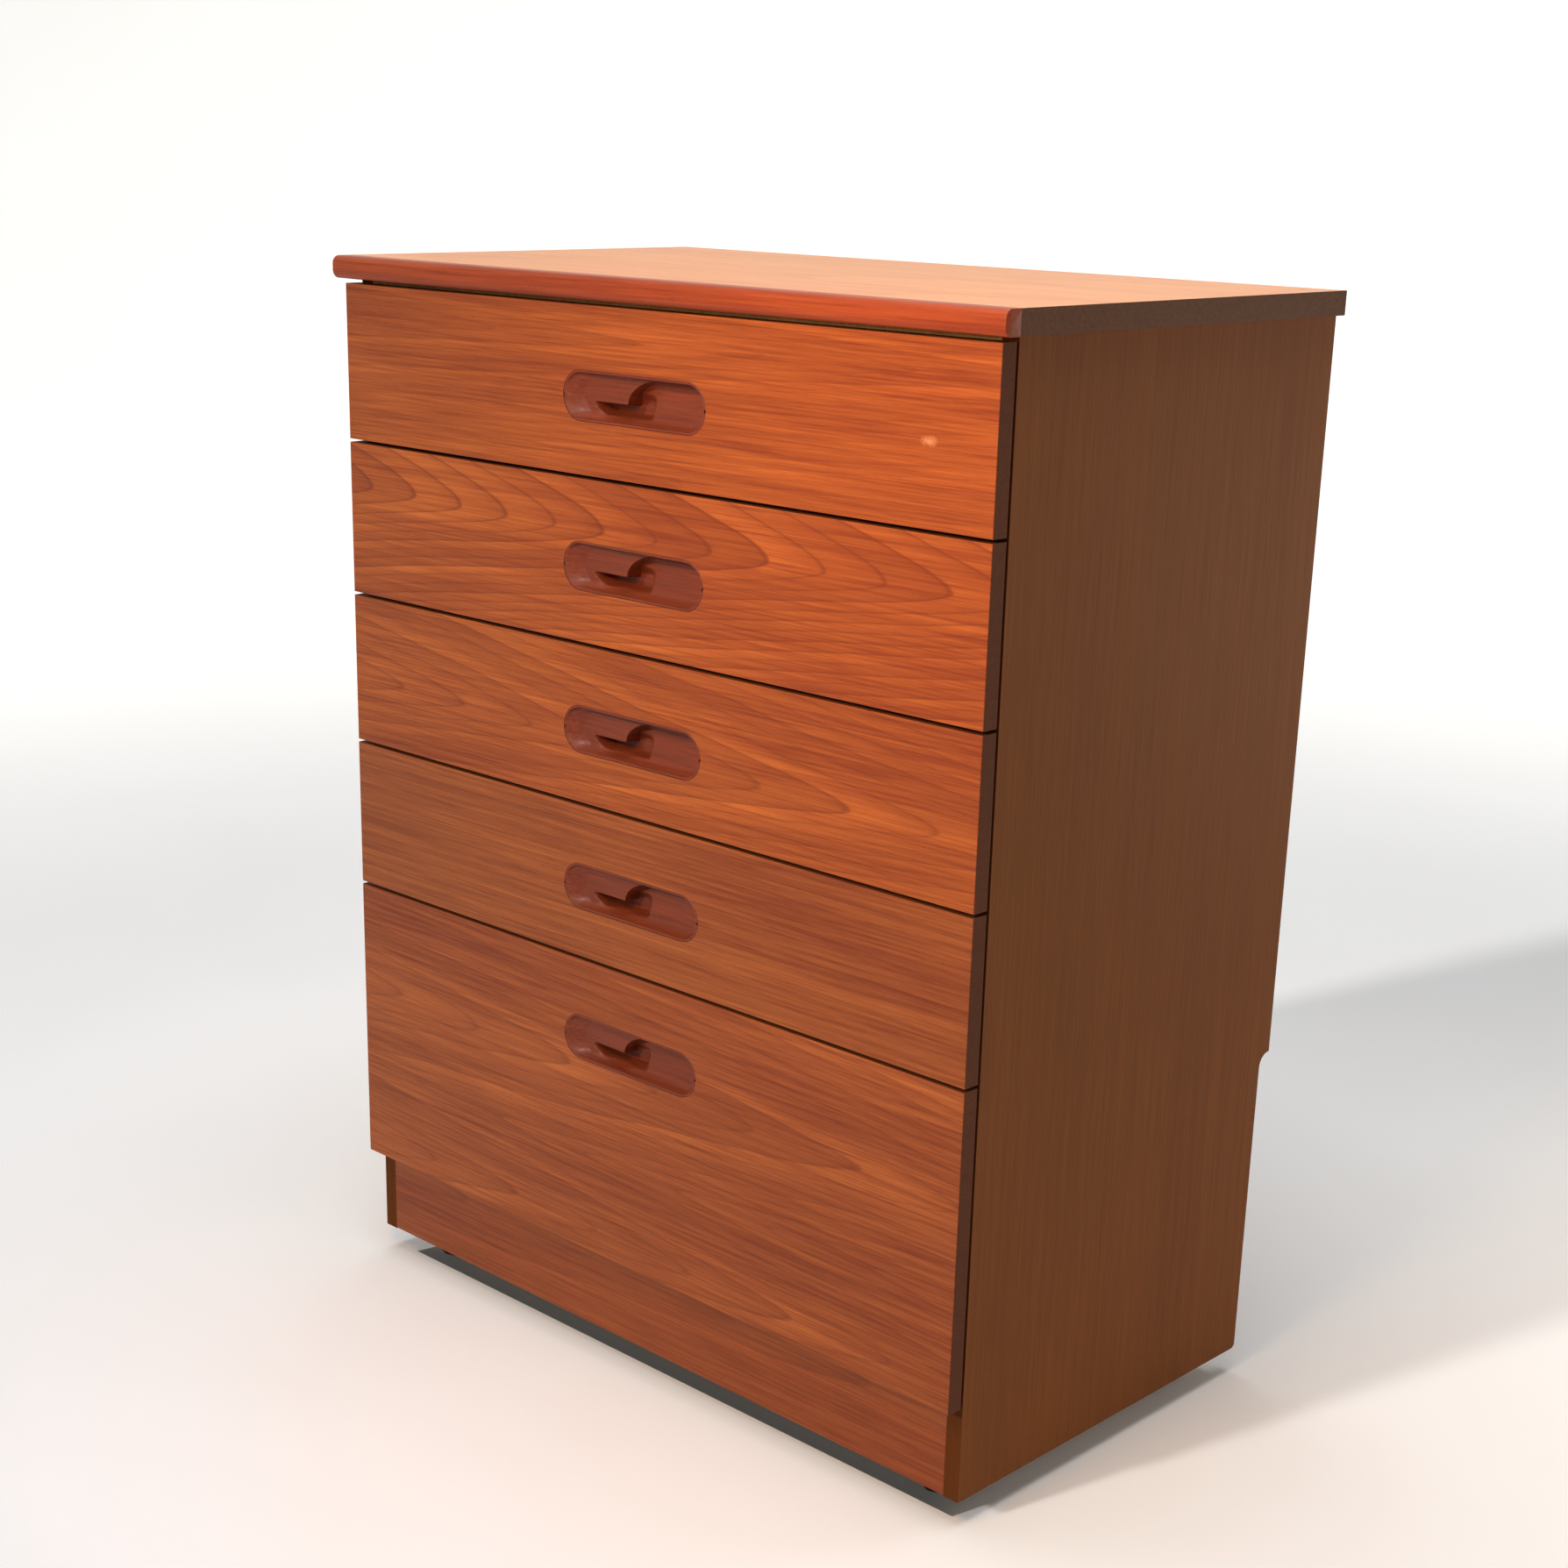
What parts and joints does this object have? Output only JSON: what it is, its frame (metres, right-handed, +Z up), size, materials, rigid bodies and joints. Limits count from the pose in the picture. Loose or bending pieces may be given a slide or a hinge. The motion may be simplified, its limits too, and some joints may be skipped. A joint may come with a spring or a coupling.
{
  "type": "tall chest of drawers",
  "caption": "Tall teak-veneered chest with overlay drawers, the lowest one double height, recessed pill-shaped handles with an S-shaped lip, a recessed plinth and hidden castors.",
  "frame": {"origin": "on the floor, at the bottom centre of the bounding box", "axes": "+Z up; drawers open towards -Y, so the fronts face -Y; +X is the right-hand side as seen from the front"},
  "size_m": [0.776, 0.446, 0.986],
  "materials": {
    "teak_fronts": "satin lacquer",
    "teak_veneer": "satin lacquer",
    "teak_top": "satin lacquer",
    "teak_lipping": "satin lacquer",
    "handle_wood": "gloss lacquer",
    "hardboard": "matt",
    "chipboard": "matt",
    "drawer_ply": "matt",
    "drawer_beech": "satin",
    "runner_beech": "matt",
    "screw_steel": "zinc plated",
    "castor_steel": "zinc plated",
    "castor_wheel": "moulded"
  },
  "bodies": {
    "case": {"back_panel": "hardboard", "castor_board": "chipboard", "castor_screws": "screw_steel", "drawer_runners": "runner_beech", "front_left_castor_plate": "castor_steel", "front_right_castor_plate": "castor_steel", "left_side_panel": "teak_veneer", "plinth": "teak_veneer", "rear_left_castor_plate": "castor_steel", "rear_plinth": "chipboard", "rear_right_castor_plate": "castor_steel", "right_side_panel": "teak_veneer", "runner_screws": "screw_steel", "top_front_lipping": "teak_lipping", "top_front_rail": "chipboard", "top_panel": "teak_top", "top_rear_rail": "chipboard"},
    "drawer_1": {"drawer_1_back": "drawer_beech", "drawer_1_bottom": "drawer_ply", "drawer_1_front": "teak_fronts", "drawer_1_handle": "handle_wood", "drawer_1_left_side": "drawer_beech", "drawer_1_right_side": "drawer_beech"},
    "drawer_2": {"drawer_2_back": "drawer_beech", "drawer_2_bottom": "drawer_ply", "drawer_2_front": "teak_fronts", "drawer_2_handle": "handle_wood", "drawer_2_left_side": "drawer_beech", "drawer_2_right_side": "drawer_beech"},
    "drawer_3": {"drawer_3_back": "drawer_beech", "drawer_3_bottom": "drawer_ply", "drawer_3_front": "teak_fronts", "drawer_3_handle": "handle_wood", "drawer_3_left_side": "drawer_beech", "drawer_3_right_side": "drawer_beech"},
    "drawer_4": {"drawer_4_back": "drawer_beech", "drawer_4_bottom": "drawer_ply", "drawer_4_front": "teak_fronts", "drawer_4_handle": "handle_wood", "drawer_4_left_side": "drawer_beech", "drawer_4_right_side": "drawer_beech"},
    "drawer_5": {"drawer_5_back": "drawer_beech", "drawer_5_bottom": "drawer_ply", "drawer_5_front": "teak_fronts", "drawer_5_handle": "handle_wood", "drawer_5_left_side": "drawer_beech", "drawer_5_right_side": "drawer_beech"},
    "front_left_castor": {"front_left_castor_axle": "castor_steel", "front_left_castor_fork": "castor_steel"},
    "front_right_castor": {"front_right_castor_axle": "castor_steel", "front_right_castor_fork": "castor_steel"},
    "rear_left_castor": {"rear_left_castor_axle": "castor_steel", "rear_left_castor_fork": "castor_steel"},
    "rear_right_castor": {"rear_right_castor_axle": "castor_steel", "rear_right_castor_fork": "castor_steel"},
    "front_left_wheel": {"front_left_castor_wheel": "castor_wheel"},
    "front_right_wheel": {"front_right_castor_wheel": "castor_wheel"},
    "rear_left_wheel": {"rear_left_castor_wheel": "castor_wheel"},
    "rear_right_wheel": {"rear_right_castor_wheel": "castor_wheel"}
  },
  "joints": [
    {"name": "drawer_1_slide", "type": "slide", "parent": "case", "child": "drawer_1", "axis": [0, -1, 0], "range_m": [0, 0.3]},
    {"name": "drawer_2_slide", "type": "slide", "parent": "case", "child": "drawer_2", "axis": [0, -1, 0], "range_m": [0, 0.3]},
    {"name": "drawer_3_slide", "type": "slide", "parent": "case", "child": "drawer_3", "axis": [0, -1, 0], "range_m": [0, 0.3]},
    {"name": "drawer_4_slide", "type": "slide", "parent": "case", "child": "drawer_4", "axis": [0, -1, 0], "range_m": [0, 0.3]},
    {"name": "drawer_5_slide", "type": "slide", "parent": "case", "child": "drawer_5", "axis": [0, -1, 0], "range_m": [0, 0.3]},
    {"name": "front_left_castor_swivel", "type": "hinge", "parent": "case", "child": "front_left_castor", "pos_m": [-0.322, -0.145, 0.0413], "axis": [0, 0, 1], "continuous": true},
    {"name": "front_left_wheel_roll", "type": "hinge", "parent": "front_left_castor", "child": "front_left_wheel", "pos_m": [-0.31721, -0.15816, 0.018], "axis": [-0.9397, -0.342, 0], "continuous": true},
    {"name": "front_right_castor_swivel", "type": "hinge", "parent": "case", "child": "front_right_castor", "pos_m": [0.322, -0.145, 0.0413], "axis": [0, 0, 1], "continuous": true},
    {"name": "front_right_wheel_roll", "type": "hinge", "parent": "front_right_castor", "child": "front_right_wheel", "pos_m": [0.32679, -0.15816, 0.018], "axis": [-0.9397, -0.342, 0], "continuous": true},
    {"name": "rear_left_castor_swivel", "type": "hinge", "parent": "case", "child": "rear_left_castor", "pos_m": [-0.322, 0.14, 0.0413], "axis": [0, 0, 1], "continuous": true},
    {"name": "rear_left_wheel_roll", "type": "hinge", "parent": "rear_left_castor", "child": "rear_left_wheel", "pos_m": [-0.31721, 0.12684, 0.018], "axis": [-0.9397, -0.342, 0], "continuous": true},
    {"name": "rear_right_castor_swivel", "type": "hinge", "parent": "case", "child": "rear_right_castor", "pos_m": [0.322, 0.14, 0.0413], "axis": [0, 0, 1], "continuous": true},
    {"name": "rear_right_wheel_roll", "type": "hinge", "parent": "rear_right_castor", "child": "rear_right_wheel", "pos_m": [0.32679, 0.12684, 0.018], "axis": [-0.9397, -0.342, 0], "continuous": true}
  ]
}
